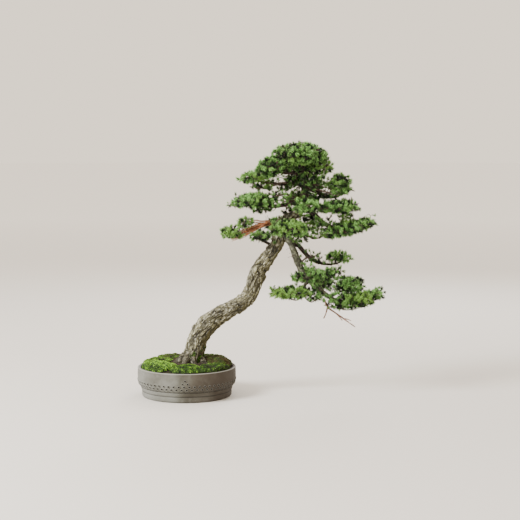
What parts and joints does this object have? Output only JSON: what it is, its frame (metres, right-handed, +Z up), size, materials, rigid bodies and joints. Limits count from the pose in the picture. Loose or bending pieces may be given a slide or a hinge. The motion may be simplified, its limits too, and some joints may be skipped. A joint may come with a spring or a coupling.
{
  "type": "conifer bonsai in a pot",
  "caption": "Slanting conifer bonsai with layered needle pads and a falling limb, in a round drum-shaped stoneware pot with a mossy mound.",
  "frame": {"origin": "centre of the pot's flat underside, on the standing surface", "axes": "+Z up; +X to the right, the side the trunk leans to; -Y towards the viewer of the tree's front"},
  "size_m": [0.7437, 0.306, 0.768],
  "materials": {
    "stoneware": "matte",
    "bark": "matte",
    "young_bark": "matte",
    "copper_bark": "matte",
    "needles": "satin",
    "moss": "matte",
    "soil": "matte",
    "grit": "matte",
    "screen": "matte",
    "wire": "satin"
  },
  "bodies": {
    "root": {"branch_back_low": "young_bark", "branch_back_mid": "young_bark", "branch_back_upper": "young_bark", "branch_cascade": "young_bark", "branch_cascade_back": "young_bark", "branch_cascade_left": "young_bark", "branch_cascade_right": "young_bark", "branch_cascade_upper": "young_bark", "branch_crown_left": "young_bark", "branch_crown_right": "young_bark", "branch_front_low": "young_bark", "branch_front_mid": "young_bark", "branch_left_low": "copper_bark", "branch_left_mid": "young_bark", "branch_left_stub": "young_bark", "branch_left_upper": "young_bark", "branch_right_inner": "young_bark", "branch_right_long": "young_bark", "branch_right_mid": "young_bark", "branch_right_upper": "young_bark", "branch_small_right": "young_bark", "dead_twig": "copper_bark", "drain_screen_1": "screen", "drain_screen_2": "screen", "drain_screen_3": "screen", "drainage_grit": "grit", "foliage_back_low": "needles", "foliage_back_mid": "needles", "foliage_back_upper": "needles", "foliage_cascade_back": "needles", "foliage_cascade_left": "needles", "foliage_cascade_right": "needles", "foliage_cascade_tip": "needles", "foliage_cascade_upper": "needles", "foliage_crown_left": "needles", "foliage_crown_right": "needles", "foliage_crown_top": "needles", "foliage_front_low": "needles", "foliage_front_mid": "needles", "foliage_left_low": "needles", "foliage_left_low_upper": "needles", "foliage_left_mid": "needles", "foliage_left_stub": "needles", "foliage_left_upper": "needles", "foliage_right_inner": "needles", "foliage_right_long": "needles", "foliage_right_mid": "needles", "foliage_right_upper": "needles", "foliage_small_right": "needles", "moss_back_left": "moss", "moss_back_right": "moss", "moss_front": "moss", "moss_front_left": "moss", "moss_front_right": "moss", "moss_left": "moss", "moss_right_mound": "moss", "pot": "stoneware", "root_tie_wire": "wire", "soil": "soil", "trunk": "bark"}
  },
  "joints": []
}
